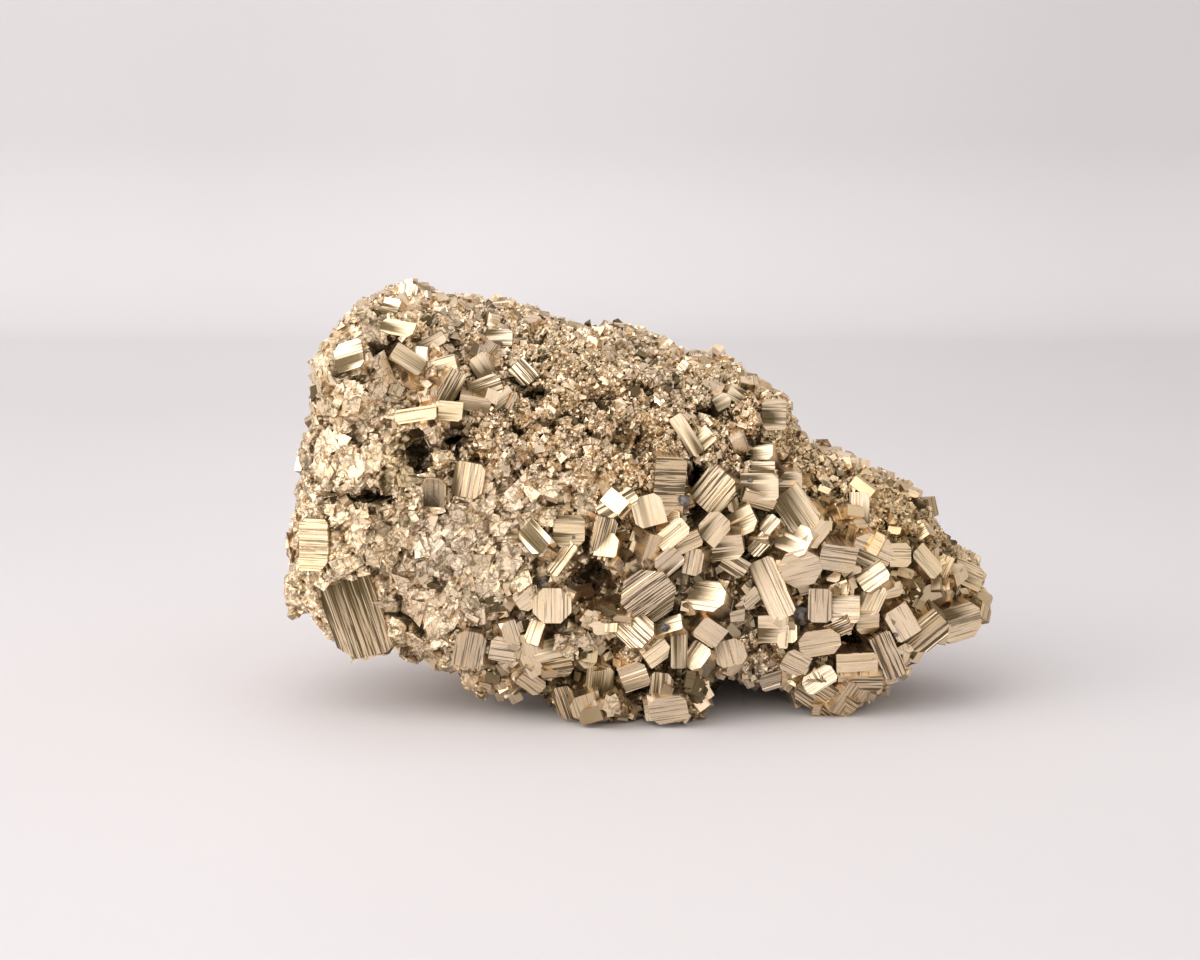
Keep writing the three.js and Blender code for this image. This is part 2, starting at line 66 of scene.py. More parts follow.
# Crystals of the front: x and z where the line from the outlook crosses y = 0, size along the striations,
# size across them, striation angle, yaw and pitch of the face. The lined ones are painted dark along their
# striations, as painted shade. The bright ones get a painted highlight, and the dull ones painted shade, on a
# few with a darker colour of their own. The round ones have all four corners of their main face cut off.
CRYSTALS = [
    # crown, over the thick end
    (-33, 58, 2.5, 2.5, 80, -10, 20, "bright"), (-35.5, 56, 2.5, 2.5, -20, -25, 30),
    (-34.5, 53, 5, 2, -20, -20, 35), (-29.5, 51, 3.5, 1.5, 30, 10, 20, "bright"),
    (-33, 48.5, 4.5, 2.5, -30, 15, 25, "dull"), (-41.5, 49, 4, 4, 10, -25, 25),
    (-27.5, 47.5, 2.5, 2.5, 15, -10, 10), (-27, 44.5, 4.5, 2.5, 60, 20, 0, "lined"),
    (-32, 40.5, 5.5, 2, 3, -15, 35, "dull"), (-27, 41, 3, 2.5, -5, 0, 25, "dull"),
    (-22.5, 47.5, 3, 2.5, -55, 10, 15), (-16.5, 46.5, 3.5, 2.5, -50, -20, 25, "lined"),
    (-22, 44.5, 4.5, 2.5, 20, -15, 5, "lined"), (-23.5, 42, 4, 2, -10, 0, -15, "dull"),
    (-19.5, 43, 3, 2, 35, 20, 10), (-20, 51.5, 3.5, 2.5, 0, -5, 30, "bright"),
    # middle
    (12, 42.5, 2, 2, 30, 0, 10), (14, 43.5, 2, 2, -30, 15, 15),
    (7, 37.5, 6, 1.8, -58, -5, 10), (9.5, 37, 2.5, 2.5, 40, -20, 25, "dull"),
    (18, 35, 2.5, 2, 0, -20, 30, "bright"), (18, 32.5, 3, 2, 0, -5, 15),
    (19.5, 40.5, 3.5, 4, 0, 25, 10), (-24.5, 31, 4.5, 4, 80, -10, 5, "dull"),
    (-29.5, 29, 3, 4, 0, -15, -5, "dull"), (-15, 22.5, 4.5, 3, -50, -22, 28, "bright"),
    (-10, 23.5, 4, 4, 0, 5, 15, "dull"), (-5, 23, 4.5, 3, 75, 20, -5, "lined", "dull"),
    (-3, 27.5, 5.5, 2.5, 30, -10, 20), (-11, 19.5, 5, 1.8, 50, -25, 10, "dull"),
    (-4.5, 21.5, 3, 3, 80, -18, 22, "dull"), (1.5, 26.5, 4, 4, -75, 0, 10),
    (4.5, 29.5, 4, 9, -5, 10, -5, "lined", "dull"), (11, 29.5, 5.5, 5, 50, -15, 5, "lined"),
    (13.5, 28.5, 4, 2, -70, 40, 0, "dull"), (17.5, 30, 5, 3.5, 0, 0, 15),
    (17.5, 28, 4.5, 2, -20, 10, -15), (14.5, 25, 4.5, 4, 25, -12, 12),
    (11, 24, 4, 3.5, 48, 15, 5), (5, 23, 4.5, 2.5, 38, -10, 20, "dull"),
    (6.5, 21.5, 5, 2, 25, -5, 0, "dull"), (12.5, 21, 5, 3.5, 10, -5, -20),
    (4.5, 19, 3.5, 3, 40, 12, -12), (2, 20.5, 4.5, 2, 70, 30, -10, "dull"),
    (8, 19, 3.5, 2.5, 80, -20, 0, "dull"), (14, 18.5, 3.5, 2.5, -32, 10, 5, "lined"),
    (1.5, 14, 7, 7, 37, 0, -8, "lined", "round"), (10, 14, 5, 4, -12, -18, 25, "bright", "round"),
    # right, up to the thin end
    (22, 30, 3, 4, 0, 10, 0), (23, 26.5, 6, 4.5, -55, 5, 15),
    (19, 24.5, 2.5, 2, 45, -22, 30, "bright"), (22.5, 22.5, 5, 4, -30, -22, 30, "bright"),
    (26, 23, 4, 2, 45, 35, 10), (17.5, 21.5, 3, 2, 45, -15, 15, "lined"),
    (29, 19.5, 5, 3.5, -12, 10, -10), (34, 20.5, 5.5, 4.5, -25, 5, -5, "round"),
    (23.5, 18, 5.5, 5, 18, -5, -12, "round"), (19.5, 15, 8.5, 3.5, -65, -12, 5),
    (34, 17, 4, 3.5, 30, -20, 28, "bright"), (38, 20, 3, 3, 0, 20, 10, "dull"),
    (32, 27, 4, 2.5, 90, 0, 20), (42, 19, 4.5, 2.5, -45, 25, 20, "dull"),
    (26.5, 12.5, 4.5, 3, 90, -5, -5), (30, 12, 4, 3.5, 0, -10, 5),
    (34, 13.5, 4, 3, 65, 0, 10), (48, 17, 4.5, 3.5, -15, 30, 20, "dull"),
    # lower right lobe
    (33.5, 10, 3, 3, 0, 15, -15, "dull"), (29, 9, 4, 2, 35, -20, -20, "lined"),
    (26.5, 7, 5.5, 3.5, 10, 0, -10, "round"), (22, 8.5, 2.5, 2, 90, -15, 10),
    (19.5, 9, 3.5, 3.5, 0, 0, 0), (32, 3.5, 5.5, 3.5, 2, 5, -5),
    (32.5, 1, 6, 2.5, 0, 0, -30, "lined"), (36.5, 5, 7, 3, -65, 20, -5, "lined"),
    (26.5, 1.5, 4.5, 2.5, 32, -10, 10), (27.5, -1.5, 8, 5, -35, -10, -25, "lined"),
    (31, -1.5, 5, 4, 55, 30, -25), (38.5, 10, 4.5, 3.5, -60, 10, 0),
    (42, 8.5, 6, 4.5, 42, 5, -15, "lined", "dull"), (47, 10, 6, 5, 10, 20, -5),
    (23, 4, 3.5, 3, -30, 10, -10), (20, 1.5, 4, 2.5, 20, 0, -20),
    # thick end, low down
    (-40.9, 10.6, 11.1, 8, -72, -12, -8, "lined"), (-47, 21.5, 4.5, 7, 0, -30, 5, "dull"),
    (-24.5, 6, 5.5, 4, 80, -5, -20),
    # front foot and the crystals above it
    (-12.5, 12.5, 4.5, 5, 90, -5, 5, "round"), (-19.5, 6, 3.5, 3, -10, 5, 0),
    (-18.5, 8.5, 3, 2, -72, 15, 0), (-15, 8.5, 3, 2, 70, -20, 25),
    (-13, 6, 4, 2.5, 15, 0, -5), (-12, 3.5, 4.5, 3, 15, -8, -15, "lined", "dull"),
    (-15.5, 4, 4, 2, -65, 10, -10), (-15.5, 1, 3.5, 2.5, -40, 0, -20, "dull"),
    (-10.5, -2, 4.5, 3, -70, -25, -10, "lined", "dull"), (-7.5, -2.5, 3.5, 4, -75, 10, -15, "dull"),
    (-5.5, 1.5, 3.5, 3.5, 85, 0, -5, "dull"), (-0.5, 9, 5, 4.5, -45, -18, 25, "lined", "bright"),
    (4, 9.5, 4.5, 2, 10, -22, 30), (2.5, 6, 3.5, 3.5, 35, 10, 10),
    (6, 6, 5, 2, 90, 5, 0), (8.5, 5, 3.5, 3, 52, -20, 20, "bright"),
    (10.5, 8.5, 4, 3, -40, 15, -15, "bright"), (13.5, 5.5, 3.5, 4, -75, -5, -5),
    (3.5, 0.5, 3.5, 3, 85, -15, 0, "lined"), (-0.5, 2, 3.5, 3.5, 20, 0, -10),
    (4.5, -3, 5, 4, 10, 0, -20),
]

# Fine-grained spots among the crystals: x, z, radius, and how bright. Grains of another mineral: x, z, size.
GRAINY_SPOTS = ((-9.7, 7.5, 2.6, 1), (17.5, 5.5, 4, 0.2), (-1, 5, 1.8, 0.2), (24.5, 5.5, 1.8, -0.2))
DARK_GRAINS = (
    (6.6, 28, 1.6), (-13.6, 15.8, 1.7), (23.4, 11, 2.3), (4, 9.2, 1.2), (7.5, 27, 1),
    (16.2, 30.9, 0.7), (-6.5, 24.5, 0.6), (-9.3, 22.6, 0.6), (37.6, 8.2, 0.8), (14.5, 11.5, 0.9),
    (-27, 38, 1),
)

# Painted light and shade on parts of the front, brighter or darker than the rest: x, z, radius, shade.
SHADED_SPOTS = (
    (-24.5, 48, 9, 0.9), (-9, 38, 7, 0.5), (-34.5, 34.5, 4.5, -1.6), (-45, 22.5, 3.5, -1.3),
    (-15, 16, 4.5, -1.2), (-14.5, 28, 3, -0.6), (-33, 15, 4.5, 0.8), (14.5, 7, 4, 0.8),
    (40, 21, 6, -1.2), (-10, 1, 7, -1), (3, 22, 6, -0.8),
)

# Crystals of the other sides, spread by a count as in the solid's source. Angles are in degrees.
OTHER_CRYSTALS = 40
SPREAD_START = np.array((-34.0, 2.0, 33.0)) + CENTRING
SPREAD_END = np.array((35.0, 2.0, 19.0)) + CENTRING
OTHER_AROUND = (140.0, 325.0)
OTHER_SIZE = (3.0, 8.0)
OTHER_SHAPE = 0.8
OTHER_ROOT = 2.0
OTHER_TILT = 0.7
ALONG_STEP = 0.7548777
AROUND_STEP = 0.5698403
SIZE_STEP = 0.6180340
ANGLE_STEP = 0.29
TILT_STEPS = np.array((0.37, 0.59, 0.83))
FRONT_HAS_ITS_OWN = -0.3  # those whose faces look further to the front than this are left to the mass


# ---- Helpers ----

def unit(vectors):
    """The vectors at length 1."""
    return vectors / np.maximum(np.linalg.norm(vectors, axis=-1, keepdims=True), 1e-12)


def crossed(corners):
    """Each triangle's normal, as long as twice its area."""
    return np.cross(corners[:, 1] - corners[:, 0], corners[:, 2] - corners[:, 0])


def tree_of(points, triangles):
    return BVHTree.FromPolygons([Vector(point) for point in points], triangles.tolist())


def add_object(name, data):
    made = bpy.data.objects.new(name, data)
    bpy.context.scene.collection.objects.link(made)
    return made


def between(ends, share):
    return ends[0] + (ends[1] - ends[0]) * share


def arrays_of(mesh, unit_size):
    """A mesh's points, in units of that size, and its triangles."""
    mesh.calc_loop_triangles()
    points = np.empty(len(mesh.vertices) * 3)
    mesh.vertices.foreach_get("co", points)
    triangles = np.empty(len(mesh.loop_triangles) * 3, np.int64)
    mesh.loop_triangles.foreach_get("vertices", triangles)
    return points.reshape(-1, 3) / unit_size, triangles.reshape(-1, 3)


def add_piece(name, points, triangles, material, **attributes):
    """A flat-shaded mesh in place of the solid. Attributes are by point or by triangle."""
    mesh = bpy.data.meshes.new(name)
    mesh.vertices.add(len(points))
    mesh.vertices.foreach_set("co", (points * MM).astype(np.float32).ravel())
    mesh.loops.add(len(triangles) * 3)
    mesh.loops.foreach_set("vertex_index", triangles.astype(np.int32).ravel())
    mesh.polygons.add(len(triangles))
    mesh.polygons.foreach_set("loop_start", np.arange(0, len(triangles) * 3, 3, dtype=np.int32))
    mesh.update(calc_edges=True)
    mesh.shade_flat()
    for key, values in attributes.items():
        domain = "POINT" if len(values) == len(points) else "FACE"
        kind, field = ("FLOAT", "value") if values.ndim == 1 else ("FLOAT_VECTOR", "vector")
        mesh.attributes.new(key, kind, domain).data.foreach_set(field, values.astype(np.float32).ravel())
    mesh.materials.append(material)
    piece = add_object(name, mesh)
    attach(piece, "root")
    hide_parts(NODE)


def random_turns(rng, count):
    """Evenly spread rotation matrices, from random unit quaternions."""
    w, x, y, z = unit(rng.normal(size=(count, 4))).T
    return np.stack([
        1 - 2 * (y * y + z * z), 2 * (x * y - z * w), 2 * (x * z + y * w),
        2 * (x * y + z * w), 1 - 2 * (x * x + z * z), 2 * (y * z - x * w),
        2 * (x * z - y * w), 2 * (y * z + x * w), 1 - 2 * (x * x + y * y),
    ], axis=-1).reshape(count, 3, 3)


def laid_out(points):
    """x and z where the lines from the outlook through the points cross y = 0, as in CRYSTALS."""
    share = (CENTRING[1] - OUTLOOK[1]) / (points[:, 1] - OUTLOOK[1])
    crossing = OUTLOOK + (points - OUTLOOK) * share[:, None] - CENTRING
    return crossing[:, 0], crossing[:, 2]


def step(values, low, high):
    """0 at the low value and beyond it, 1 at the high one, and smooth between them. Low may be the larger."""
    share = np.clip((values - low) / (high - low), 0, 1)
    return share * share * (3 - 2 * share)


def noise_at(points, size, shift=0.0):
    """Smooth noise with lumps of about that size."""
    return np.array([noise.noise(Vector(point)) for point in points / size + shift])


# ---- The crystals' places, read off the solid's mesh ----

cad_points, cad_triangles = arrays_of(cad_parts[NODE].data, MM)
cad_normals = unit(crossed(cad_points[cad_triangles]))
cad_centres = cad_points[cad_triangles].mean(axis=1)
cad_tree = tree_of(cad_points, cad_triangles)

SAME_WAY = 0.9998  # the cosine between normals that count as the same
NEARLY_LEVEL = 0.9


def axes_facing(normal, angle):
    """A crystal's axes: along the striations, across them, and out of its main face."""
    reference = np.array((0.0, 1.0, 0.0)) if abs(normal[0]) > NEARLY_LEVEL else np.array((1.0, 0.0, 0.0))
    level = unit(reference - normal * (reference @ normal))
    upright = np.cross(normal, level)
    turn = math.radians(angle)
    grain = level * math.cos(turn) + upright * math.sin(turn)
    return np.array((grain, np.cross(normal, grain), normal))


def facing(yaw, pitch):
    """The direction turned by those degrees from straight to the front."""
    level = math.cos(math.radians(pitch))
    turn = math.radians(yaw)
    return np.array((math.sin(turn) * level, -math.cos(turn) * level, math.sin(math.radians(pitch))))


def face_centre(start, line, normal, reach):
    """Where the line meets the solid's face that looks along the normal, or None if no such face is near."""
    faces = np.flatnonzero(cad_normals @ normal > SAME_WAY)
    if not len(faces):
        return None
    distances = np.einsum("ij,j->i", cad_centres[faces] - start, normal) / (line @ normal)
    places = start + line * distances[:, None]
    gaps = np.linalg.norm(places - cad_centres[faces], axis=1)
    best = gaps.argmin()
    return places[best] if gaps[best] < reach else None


def crystal_at(start, line, normal, angle, along, across, depth, marks=()):
    """A crystal where the line meets the solid."""
    place = face_centre(start, line, normal, max(along, across))
    if place is None:
        place = np.array(cad_tree.ray_cast(Vector(start), Vector(line))[0])
    axes = axes_facing(normal, angle)
    return {"place": place, "axes": axes, "along": along, "across": across, "depth": depth, "marks": marks}


def front_crystals():
    for x, z, along, across, angle, yaw, pitch, *marks in CRYSTALS:
        line = unit(np.array((x, 0.0, z)) + CENTRING - OUTLOOK)
        depth = CRYSTAL_ROOT + max(min(along, across), LEAST_SUNK)
        yield crystal_at(OUTLOOK, line, facing(yaw, pitch), angle, along, across, depth, marks)


def other_crystals():
    for count in range(OTHER_CRYSTALS):
        share = count * ALONG_STEP % 1
        around = math.radians(between(OTHER_AROUND, count * AROUND_STEP % 1))
        size = between(OTHER_SIZE, count * SIZE_STEP % 1)
        outward = unit(np.array(((2 * share - 1) ** 3, -math.cos(around), math.sin(around))))
        root = between((SPREAD_START, SPREAD_END), share)
        normal = unit(outward + OTHER_TILT * (count * TILT_STEPS % 1 - 0.5))
        angle = 180 * (count * ANGLE_STEP % 1)
        yield crystal_at(root, outward, normal, angle, size, OTHER_SHAPE * size, size + OTHER_ROOT)


big_crystals = [
    *front_crystals(),
    *(crystal for crystal in other_crystals() if crystal["axes"][2][1] > FRONT_HAS_ITS_OWN),
]

# ---- Striated crystals ----

STRIP = (0.10, 0.50)  # widths of the strips
STEEP_STRIP = (0.07, 0.17)
LAST_STRIP = 0.05
RELIEF = 0.14  # how deep the strips go
GENTLE = 0.05  # spread of the strips' slopes
STEEP = (0.3, 0.9)  # slopes of the steep strips
PLAIN_TONES = 0.16  # spread of the strips' tones
# Steep strips are narrow steps: most are painted dark as painted shade, the others light as a painted
# highlight.
STEP_SHADE_TONE = -1.3  # of most steep strips
STEP_HIGHLIGHT_TONE = 0.4  # of the others
STEP_SHADE_SHARE = 0.7
INSET = 0.13  # each face's own strips stand in this far from the crystal's edges
PROUD = 0.05
LAYER = 0.04  # each prism's corners are cut this much further in than the one before
CRYSTAL_TONES = 0.2
CUT_EDGES = 0.35  # chance of a corner cut off along the depth
CUT_CORNERS = 0.6  # chance of that or of a corner cut off at a slant
EDGE_CUT = (0.1, 0.28)  # how much of the width is cut off
CORNER_CUT = (0.12, 0.3)
CORNER_SLANT = 0.9
GRAIN_SHIFT = (0, 90)  # random places in the lines' noise
GROUND = 0.02  # the looks end this far above the plane that the cluster rests on
GROWN = 0.3  # how much larger than the solid's own the large crystals are
BIG_LINED = (0.05, 0.7)  # how much the unmarked large crystals are lined
BIG_SHADES = 0.4  # spread of their shades
# Tones of the bright and the dull crystals: a painted highlight, and painted shade, on a few with a darker
# colour of their own.
PAINTED_HIGHLIGHT_TONE = 0.9
DARKER_AND_SHADED_TONE = -1.1
STEEP_LEAST = 0.05  # share of steep strips on an unlined crystal
STEEP_MORE = 0.35  # and how many more on a lined one
ROUND_CUT = 0.3  # how much of the width is cut off a round one


def profile(rng, half, steep_share, scale):
    """Breaks across a face, their heights, all at or below 0, and the tones of the strips between them."""
    breaks, heights, tones = [-half], [-RELIEF * scale * rng.random() * 0.3], []
    while breaks[-1] < half - LAST_STRIP * scale:
        steep = rng.random() < steep_share
        width = scale * (rng.uniform(*STEEP_STRIP) if steep else between(STRIP, rng.random() ** 2))
        slope = rng.uniform(*STEEP) if steep else abs(rng.normal(0, GENTLE))
        slope *= rng.choice((-1, 1))
        height = heights[-1] + slope * width
        if height > 0 or height < -RELIEF * scale:
            height = heights[-1] - slope * width
        breaks.append(min(half, breaks[-1] + width))
        heights.append(min(0.0, height))
        # Painted shade on most steep strips, a painted highlight on the rest.
        if steep:
            tones.append(STEP_SHADE_TONE if rng.random() < STEP_SHADE_SHARE else STEP_HIGHLIGHT_TONE)
        else:
            tones.append(rng.normal(0, PLAIN_TONES))
    return np.array(breaks), np.array(heights), np.array(tones)


def prism(rng, half_along, half_across, top, bottom, steep_share, scale, both):
    """A closed prism along x, striated on its top face, and on its bottom face if both."""
    breaks, rise, tones = profile(rng, half_across, steep_share, scale)
    fall = np.interp(breaks, *profile(rng, half_across, steep_share, scale)[:2]) if both else 0 * rise
    count = len(breaks)
    ends = []
    for x in (-half_along, half_along):
        ends.append(np.column_stack((np.full(count, x), breaks, top + rise)))
        ends.append(np.column_stack((np.full(count, x), breaks, bottom - fall)))
    points = np.concatenate(ends)
    near = np.arange(count - 1)  # on the top; the bottom's points follow, and then the far end's
    below, far, far_below = near + count, near + 2 * count, near + 3 * count
    quads = [
        np.column_stack((near, far, far + 1, near + 1)),
        np.column_stack((below, below + 1, far_below + 1, far_below)),
        np.column_stack((near, near + 1, below + 1, below)),
        np.column_stack((far, far_below, far_below + 1, far + 1)),
        np.array(((0, 1, 3, 2), (0, 2, 3, 1))) * count + ((0,), (count - 1,)),
    ]
    no_tones = np.zeros(2 * (count - 1) + 2)  # of the two ends and the two sides
    return points, np.concatenate(quads), np.concatenate((tones, tones[::-1], no_tones))


def cut_off(points, faces, tones, grain, planes):
    """The closed shape with what lies beyond each plane cut off and the cut closed; triangles come back."""
    shape = bmesh.new()
    tone_layer = shape.faces.layers.float.new("tone")
    grain_layer = shape.verts.layers.float_vector.new("grain")
    verts = [shape.verts.new(point) for point in points]
    for vert, value in zip(verts, grain):
        vert[grain_layer] = value
    for face, value in zip(faces, tones):
        shape.faces.new([verts[index] for index in face])[tone_layer] = value
    for place, normal in planes:
        whole = shape.verts[:] + shape.edges[:] + shape.faces[:]
        cut = bmesh.ops.bisect_plane(shape, geom=whole, plane_co=place, plane_no=normal, clear_outer=True)
        edges = [item for item in cut["geom_cut"] if isinstance(item, bmesh.types.BMEdge)]
        if edges:
            bmesh.ops.holes_fill(shape, edges=edges)
    bmesh.ops.triangulate(shape, faces=shape.faces[:])
    bmesh.ops.recalc_face_normals(shape, faces=shape.faces[:])
    shape.verts.index_update()
    result = (
        np.array([vert.co for vert in shape.verts]).reshape(-1, 3),
        np.array([[vert.index for vert in face.verts] for face in shape.faces]).reshape(-1, 3),
        np.array([face[tone_layer] for face in shape.faces]),
        np.array([vert[grain_layer] for vert in shape.verts]).reshape(-1, 3),
    )
    shape.free()
    return result


def merged(parts):
    """Several sets of points, triangles, values of each triangle and values of each point, as one."""
    offset, triangles = 0, []
    for part in parts:
        triangles.append(part[1] + offset)
        offset += len(part[0])
    points, per_triangle, per_point = (np.concatenate([part[i] for part in parts]) for i in (0, 2, 3))
    return points, np.concatenate(triangles), per_triangle, per_point


def corner_cuts(rng, half_along, half_across, round_cut):
    """Planes that cut off corners of a crystal's main face. Round_cut is the share of the width, if not 0."""
    corner = 2 * min(half_along, half_across)
    for side_x, side_y in ((1, -1), (1, 1), (-1, 1), (-1, -1)):
        kind = rng.random()
        if round_cut or kind < CUT_EDGES or (side_x, side_y) == (1, -1):
            cut = corner * (round_cut or rng.uniform(*EDGE_CUT))
            place = (side_x * half_along, side_y * (half_across - cut), 0.0)
            yield np.array(place), unit(np.array((side_x, side_y, 0.0)))
        elif kind < CUT_CORNERS:
            cut = corner * rng.uniform(*CORNER_CUT)
            place = (side_x * (half_along - cut), side_y * half_across, 0.0)
            yield np.array(place), unit(np.array((side_x, side_y, CORNER_SLANT)))


def striated_crystal(rng, along, across, depth, steep_share, lined, scale=1.0, strips=1.0, round_cut=0):
    """A crystal in its own axes: x along the striations, z out of its main face, which lies at z = 0. Each
    pair of faces is striated at right angles to the next, so it is three prisms in one place. Its triangles'
    values are the tone and how much it is lined."""
    half_along, half_across, half_depth = along / 2, across / 2, depth / 2
    inset = INSET * scale
    proud = PROUD * scale
    cuts = list(corner_cuts(rng, half_along, half_across, round_cut))
    low, reach = -half_depth - inset, half_depth - inset / 2
    layouts = (
        # axes in the crystal's axes, half sizes, top, bottom, whether both are striated, how far it is sunk
        ((0, 1, 2), half_along, half_across, 0.0, -depth, False, 0.0),
        ((1, 2, 0), half_across - inset, reach, half_along + proud, -half_along - proud, True, low),
        ((2, 0, 1), reach, half_along - inset, half_across + proud, -half_across - proud, True, low),
    )
    parts = []
    for number, (order, long, wide, top, bottom, both, sunk) in enumerate(layouts):
        points, quads, tones = prism(rng, long, wide, top, bottom, steep_share, strips, both)
        grain = points + rng.uniform(*GRAIN_SHIFT, 3)
        placed = np.empty_like(points)
        for own, axis in enumerate(order):
            placed[:, axis] = points[:, own]
        placed[:, 2] += sunk
        planes = [(place - normal * LAYER * scale * number, normal) for place, normal in cuts]
        parts.append(cut_off(placed, quads, tones, grain, planes))
    points, triangles, tones, grain = merged(parts)
    tones += rng.normal(0, CRYSTAL_TONES)
    return points, triangles, np.column_stack((tones, np.full(len(tones), lined))), grain


def on_the_ground(points, triangles, tones, grain):
    """A crystal cut off flat just above the plane that the cluster rests on."""
    if points[:, 2].min() > 0:
        return points, triangles, tones, grain
    plane = (Vector((0, 0, GROUND)), Vector((0, 0, -1)))
    points, triangles, shades, grain = cut_off(points, triangles, tones[:, 0], grain, [plane])
    return points, triangles, np.column_stack((shades, np.full(len(shades), tones[0, 1]))), grain


def build_big_crystals():
    rng = np.random.default_rng(SEED)
    parts = []
    for crystal in big_crystals:
        marks = crystal["marks"]
        lined = rng.uniform(*BIG_LINED)
        shade = rng.normal(0, BIG_SHADES)
        lined = 1.0 if "lined" in marks else lined
        shade = PAINTED_HIGHLIGHT_TONE if "bright" in marks else DARKER_AND_SHADED_TONE if "dull" in marks else shade
        points, triangles, tones, grain = striated_crystal(
            rng, crystal["along"] + GROWN, crystal["across"] + GROWN, crystal["depth"],
            STEEP_LEAST + STEEP_MORE * lined, lined, round_cut=ROUND_CUT if "round" in marks else 0,
        )
        points[:, 2] += GROWN / 2
        tones[:, 0] += shade
        placed = crystal["place"] + points @ crystal["axes"]
        parts.append(on_the_ground(placed, triangles, tones, grain))
    return merged(parts)


# ---- The mass ----

VOXEL = 0.36
FACET_RISE = 0.2  # spread of the facets' heights, as a share of the most
STEEPEST_FACET = 0.4  # a cosine
FACET_TONES = 0.4
LUMP_SIZE = (0.75, 1.25)
LUMP_REACH = 0.75
CRYSTAL_MARGIN = 0.45  # how far round a crystal the mass is drawn in,
DRAWN_FROM = 3.0  # from how far over its main face,
DRAWN_IN = 0.3  # to how far inside its edges
DRAWN_DOWN = 0.5  # and how far under the face
GAP_REACH = 5.0  # how far off another surface still makes a gap
GAP_START = 0.12
BACK = -0.25  # a surface that looks less to the front than this is finished as the back is,
FRONT = 0.2  # and one that looks more to the front than this as the front is

# Textures of the mass: facets by spacing, tilt and most height, and lumps by spacing and height.
COARSE_FACETS = (3.6, 0.24, 0.8)
MEDIUM_FACETS = (1.8, 0.3, 0.4)
FINE_FACETS = (0.9, 0.45, 0.28)
BIG_LUMPS = (3.3, 1.7)
SMALL_LUMPS = (1.2, 0.5)
SWELL = 0.6  # height of the broad swells
GROOVE = 0.35  # depth of the grooves
GROOVE_WIDTH = 0.07
GRAINY_RISE = 1.4  # how far the brighter fine-grained spots stand out
ROUGHNESS = 0.07  # spread of the granular parts' points


def voxel_body():
    """The solid as a fine, even grid of points on its surface: points, normals and triangles."""
    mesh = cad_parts[NODE].data.copy()
    mesh.transform(Matrix.Scale(1 / MM, 4))
    source = add_object("source", mesh)
    remesh = source.modifiers.new("grid", "REMESH")
    remesh.mode = "VOXEL"
    remesh.voxel_size = VOXEL
    result = bpy.data.meshes.new_from_object(source.evaluated_get(bpy.context.evaluated_depsgraph_get()))
    bpy.data.objects.remove(source)
    normals = np.empty(len(result.vertices) * 3)
    result.vertex_normals.foreach_get("vector", normals)
    points, triangles = arrays_of(result, 1.0)
    return points, normals.reshape(-1, 3), triangles


def cells(rng, points, spacing):
    """Seeds spread over the points, about that far apart, and each point's nearest one and its distance."""
    count = int(len(points) * (VOXEL / spacing) ** 2)
    seeds = rng.choice(len(points), count, replace=False)
    tree = KDTree(count)
    for number, seed in enumerate(seeds):
        tree.insert(points[seed], number)
    tree.balance()
    found = [tree.find(point) for point in points]
    return seeds, np.array([near[1] for near in found]), np.array([near[2] for near in found])


def facets(rng, points, normals, spacing, lean, most):
    """Heights that bring each point to the tilted plane of its nearest seed, so that the surface breaks into
    facets, and a tone for each point's facet."""
    seeds, nearest, _ = cells(rng, points, spacing)
    planes = unit(normals[seeds] + rng.normal(0, lean, (len(seeds), 3)))[nearest]
    rise = rng.normal(0, most * FACET_RISE, len(seeds))[nearest]
    gap = np.einsum("ij,ij->i", points[seeds][nearest] - points, planes)
    gap /= np.maximum(np.einsum("ij,ij->i", planes, normals), STEEPEST_FACET)
    return np.clip(gap + rise, -most, most), rng.normal(0, FACET_TONES, len(seeds))[nearest]


def lumps(rng, points, spacing, height):
    """Rounded bumps with crevices between them."""
    seeds, nearest, distance = cells(rng, points, spacing)
    size = rng.uniform(*LUMP_SIZE, len(seeds))[nearest]
    return height * np.clip(0.5 - (distance / (LUMP_REACH * spacing * size)) ** 2, -1.0, 0.5)


def near_crystal(crystal, points, margin, over):
    """Its half size, the points in its axes, and which lie that near to its sides and less far over it."""
    half = np.array((crystal["along"], crystal["across"])) / 2
    local = (points - crystal["place"]) @ crystal["axes"].T
    inside = (np.abs(local[:, :2]) < half + margin).all(axis=1)
    return half, local, inside & (local[:, 2] < over) & (local[:, 2] > -crystal["depth"])


def under_crystals(points):
    """Draws the mass in under each crystal, so that it never comes through a crystal's faces."""
    for crystal in big_crystals:
        half, local, inside = near_crystal(crystal, points, CRYSTAL_MARGIN, DRAWN_FROM)
        drawn = local[inside]
        drawn[:, :2] = np.clip(drawn[:, :2], DRAWN_IN - half, half - DRAWN_IN)
        drawn[:, 2] = np.minimum(drawn[:, 2], -DRAWN_DOWN)
        points[inside] = crystal["place"] + drawn @ crystal["axes"]
    return points


def depth_in(tree, points, normals, rays=7):
    """0 for a point out in the open, up to 1 for one down in a gap."""
    rng = np.random.default_rng(SEED)
    around = unit(rng.normal(size=(rays, 3)))
    covered = np.zeros(len(points))
    starts = points + normals * GAP_START
    for direction in around:
        lines = unit(normals * 1.05 + direction)  # a little over 1, so that none of them is zero
        for number, (start, line) in enumerate(zip(starts, lines)):
            distance = tree.ray_cast(start, line, GAP_REACH)[3]
            if distance is not None:
                covered[number] += 1 - distance / GAP_REACH
    return covered / rays


def on_spots(x, z, spots, edge):
    """The spots' values where they lie, 0 elsewhere, with an edge that is soft by that much each way."""
    total = np.zeros(len(x))
    for spot_x, spot_z, radius, value in spots:
        total += value * step(np.hypot(x - spot_x, z - spot_z), radius + edge, radius - edge)
    return total


